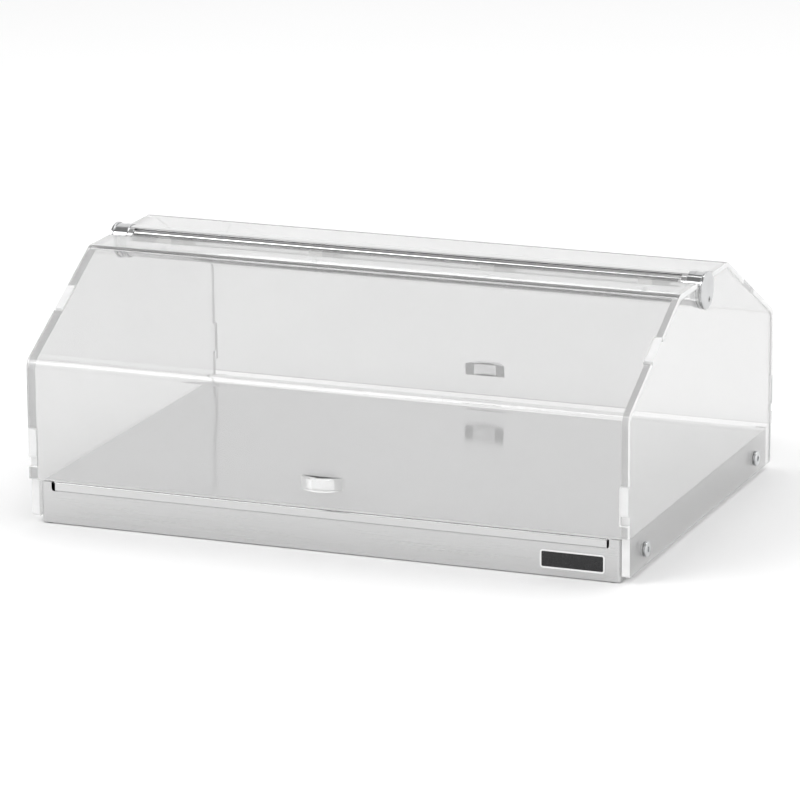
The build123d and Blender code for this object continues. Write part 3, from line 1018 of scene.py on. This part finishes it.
@dataclass
class HingeTube:
    """The slotted tube, its end caps and their screws."""

    wall: float = 0.0015
    slot_half: float = 0.290
    slot_high: float = 18.08
    slot_low: float = 87.0

    def tube(self) -> bpy.types.Object:
        """The tube with its two slots.

        Returns:
            The finished piece.
        """
        low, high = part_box("hinge_tube")
        radius = (high[1] - low[1]) / 2
        axis = (low[2] + high[2]) / 2
        piece = Bench.drum("hinge_tube_slotted", (0, 0, axis), radius, high[0] - low[0], (1, 0, 0), 180)
        bore = Bench.drum("bore", (0, 0, axis), radius - self.wall, 1.0, (1, 0, 0), 180)
        Bench.boolean(piece, bore, "DIFFERENCE")
        for facing in Facing:
            reach = 2 * radius
            high_angle, low_angle = radians(self.slot_high), radians(self.slot_low)
            wedge = Bench.block("wedge", (-self.slot_half, 0, 0), (self.slot_half, reach, reach))
            Bench.only(wedge)
            bpy.ops.object.mode_set(mode="EDIT")
            for angle, sign in ((high_angle, -1), (low_angle, 1)):
                bpy.ops.mesh.select_all(action="SELECT")
                bpy.ops.mesh.bisect(plane_co=(0, 0, 0),
                                    plane_no=(0, sign * cos(angle), -sign * sin(angle)),
                                    use_fill=True, clear_outer=True)
            bpy.ops.object.mode_set(mode="OBJECT")
            if facing is Facing.FRONT:
                Bench.reflect(wedge, (1, -1, 1))
            wedge.data.transform(Matrix.Translation((0, 0, axis)))
            Bench.boolean(piece, wedge, "DIFFERENCE")
        Bench.bevel(piece, 0.0002, 2, 50)
        return Bench.done(piece, TUBE_STEEL.make(), "case", ["hinge_tube"])

    def cap(self, side: Side) -> None:
        """One end cap: the collar with its hub, the outer disc and its screw.

        Args:
            side: Which end.
        """
        word, out = side.name.lower(), side.value
        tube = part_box("hinge_tube")
        axis = (tube[0][2] + tube[1][2]) / 2
        low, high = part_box(f"{word}_hinge_cap")
        inner, outer = (low[0], high[0]) if out > 0 else (high[0], low[0])
        panel = out * 0.302
        radius = (high[1] - low[1]) / 2
        hub_radius = radius - 0.0003
        collar = Bench.drum(f"{word}_hinge_cap_turned", ((inner + panel) / 2, 0, axis), radius,
                            abs(panel - inner), (1, 0, 0), 120)
        Bench.bevel_edges(collar, lambda middle, way: abs(way.x) < 0.1 and abs(middle.x - inner) < 0.0001,
                          0.0006, 4)
        hub = Bench.drum("hub", ((outer + inner) / 2, 0, axis), hub_radius,
                         abs(outer - inner), (1, 0, 0), 120)
        Bench.boolean(collar, hub, "UNION")
        bore_end = out * 0.301
        bore = Bench.drum("bore", ((inner - out * 0.01 + bore_end) / 2, 0, axis),
                          (tube[1][1] - tube[0][1]) / 2 + 0.00005,
                          abs(bore_end - inner) + 0.01, (1, 0, 0), 180)
        Bench.boolean(collar, bore, "DIFFERENCE")
        for facing in Facing:
            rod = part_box(f"{facing.name.lower()}_hinge_rod")
            centre = ((rod[0][1] + rod[1][1]) / 2, (rod[0][2] + rod[1][2]) / 2)
            hole = Bench.drum("hole", (out * 0.30435, *centre), 0.00305, 0.0087, (1, 0, 0), 64)
            Bench.boolean(collar, hole, "DIFFERENCE")
        Bench.bevel(collar, 0.00015, 2, 50)
        Bench.done(collar, POLISHED.make(), "case", [f"{word}_hinge_cap"])
        low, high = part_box(f"{word}_cap_disc")
        disc = Bench.drum(f"{word}_cap_disc_turned", ((low[0] + high[0]) / 2, 0, axis),
                          (high[1] - low[1]) / 2,
                          high[0] - low[0], (1, 0, 0), 120)
        Bench.bevel_edges(disc, lambda middle, way: abs(way.x) < 0.1, 0.0008, 5)
        screw_low, screw_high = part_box(f"{word}_cap_screw")
        place = ((screw_low[1] + screw_high[1]) / 2, (screw_low[2] + screw_high[2]) / 2)
        face = high[0] if out > 0 else low[0]
        Bench.boolean(disc, Bench.drum("seat", (face, *place), 0.00285, 0.0024, (1, 0, 0), 48), "DIFFERENCE")
        Bench.boolean(disc, Bench.drum("hole", (face, *place), 0.00155, 0.02, (1, 0, 0), 48), "DIFFERENCE")
        Bench.done(disc, POLISHED.make(), "case", [f"{word}_cap_disc"])
        head = Bench.drum(f"{word}_cap_screw_turned", (face - out * 0.0006, *place),
                          0.0028, 0.0012, (1, 0, 0), 48)
        end = screw_low[0] if out > 0 else screw_high[0]
        shank = Bench.drum("shank", ((face - out * 0.0006 + end) / 2, *place), 0.0015,
                           abs(face - out * 0.0006 - end), (1, 0, 0), 32)
        Bench.boolean(head, shank, "UNION")
        slot = Bench.block("slot", (face - 0.0006, place[0] - 0.002, place[1] - 0.00035),
                           (face + 0.0006, place[0] + 0.002, place[1] + 0.00035))
        Bench.boolean(head, slot, "DIFFERENCE")
        Bench.bevel(head, 0.0001, 2, 50)
        Bench.done(head, DARK_SCREW.make(), "case", [f"{word}_cap_screw"])

    def build(self) -> None:
        """Build every piece of the hinge."""
        self.tube()
        for side in Side:
            self.cap(side)


@dataclass
class CarriedPiece:
    """A CAD piece that is shown as it is, with a better material."""

    node: str
    finish: bpy.types.Material

    def dress(self) -> None:
        """Set the material on the object's own slots."""
        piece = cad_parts[self.node]
        for slot in piece.material_slots:
            slot.link = "OBJECT"
            slot.material = self.finish
        LOG.info("%s: carried over", self.node)


# ---------------------------------------------------------------- the studio
@dataclass
class Studio:
    """The floor, the light and the camera."""

    floor_size: float = 30.0
    camera_place: Point = (1.8326, -4.6397, 1.4296)
    camera_right: Point = (0.93028, 0.36678, -0.00738)
    camera_up: Point = (-0.08801, 0.24268, 0.96612)
    camera_back: Point = (0.35614, -0.89811, 0.25804)
    lens: float = 233.75
    sensor: float = 36.0
    sky_strength: float = 1.04
    right_tone: float = 0.95
    zenith_tone: float = 0.3

    def floor(self) -> None:
        """A wide pale floor."""
        Bench.clear()
        bpy.ops.mesh.primitive_plane_add(size=self.floor_size, location=(0, 0, 0))
        floor = Bench.named("studio_floor")
        sheet = NodeSheet.blank("studio_floor_paint")
        sheet.blend(sheet.grain((0.5, 0.5, 0.5)), (0.955, 0.955, 0.955), (0.97, 0.97, 0.97))
        sheet.shader.inputs["Roughness"].default_value = 0.9
        sheet.shader.inputs["Specular IOR Level"].default_value = 0.1
        floor.data.materials.append(sheet.material)

    @staticmethod
    def fade(nodes: bpy.types.Nodes, start: float, end: float, first: float, last: float) -> bpy.types.Node:
        """A ramp from one grey to another.

        Args:
            nodes: The nodes to add it to.
            start: Where the ramp starts.
            end: Where it ends.
            first: Grey before the start.
            last: Grey after the end.

        Returns:
            The ramp node.
        """
        ramp = nodes.new("ShaderNodeValToRGB")
        for element, position, tone in zip(ramp.color_ramp.elements, (start, end), (first, last)):
            element.position = position
            element.color = (tone, tone, tone, 1.0)
        return ramp

    def sky(self) -> None:
        """An even pale surround, darker overhead and a little darker to the right."""
        world = bpy.data.worlds.new("studio")
        bpy.context.scene.world = world
        world.use_nodes = True
        nodes, links = world.node_tree.nodes, world.node_tree.links
        place = nodes.new("ShaderNodeTexCoord")
        split = nodes.new("ShaderNodeSeparateXYZ")
        links.new(place.outputs["Generated"], split.inputs["Vector"])
        across = self.fade(nodes, 0.25, 0.95, 1.0, self.right_tone)
        upwards = self.fade(nodes, 0.74, 0.88, 1.0, self.zenith_tone)
        links.new(split.outputs["X"], across.inputs["Fac"])
        links.new(split.outputs["Z"], upwards.inputs["Fac"])
        both = nodes.new("ShaderNodeMixRGB")
        both.blend_type = "MULTIPLY"
        both.inputs["Fac"].default_value = 1.0
        links.new(across.outputs["Color"], both.inputs["Color1"])
        links.new(upwards.outputs["Color"], both.inputs["Color2"])
        links.new(both.outputs["Color"], nodes["Background"].inputs["Color"])
        nodes["Background"].inputs["Strength"].default_value = self.sky_strength

    def lamp(self, name: str, place: Point, size: float, power: float) -> None:
        """A soft square light that looks at the case.

        Args:
            name: Name of the light.
            place: Where it hangs.
            size: Side of the square.
            power: Its power in watts.
        """
        data = bpy.data.lights.new(name, "AREA")
        data.energy = power
        data.size = size
        lamp = bpy.data.objects.new(name, data)
        bpy.context.collection.objects.link(lamp)
        lamp.location = place
        lamp.rotation_euler = (Vector((0, 0, 0.1)) - Vector(place)).to_track_quat("-Z", "Y").to_euler()

    def camera(self) -> None:
        """The camera, at the angle at which the case is usually shown."""
        data = bpy.data.cameras.new("camera")
        data.lens = self.lens
        data.sensor_width = self.sensor
        data.clip_end = 200.0
        camera = bpy.data.objects.new("camera", data)
        bpy.context.collection.objects.link(camera)
        turn = Matrix((self.camera_right, self.camera_up, self.camera_back)).transposed().to_4x4()
        camera.matrix_world = Matrix.Translation(self.camera_place) @ turn
        bpy.context.scene.camera = camera

    def build(self) -> None:
        """Set up the whole studio."""
        self.floor()
        self.sky()
        self.lamp("key_light", (-2.0, -2.2, 3.2), 2.0, 50.0)
        self.lamp("top_light", (0.5, 0.8, 3.5), 2.2, 36.0)
        self.lamp("right_fill", (3.4, 0.2, 0.9), 2.0, 12.0)
        self.camera()
        bpy.context.scene.view_settings.view_transform = "Standard"


def main() -> None:
    """Build the case and its studio."""
    logging.basicConfig(level=logging.INFO, format="%(name)s %(message)s")
    clear = ClearStock(ACRYLIC.make(), CUT_EDGE.make(), BLOCK_ACRYLIC.make())
    shape = FlapShape()
    SteelBase().build()
    HingeTube().build()
    for side in Side:
        SidePanel(side, shape).build(clear)
    for facing in Facing:
        Flap(facing, shape).build(clear)
    CarriedPiece("rod_bearings", NYLON.make()).dress()
    CarriedPiece("bearing_screws", FASTENER.make()).dress()
    Studio().build()


if __name__ == "__main__":
    main()
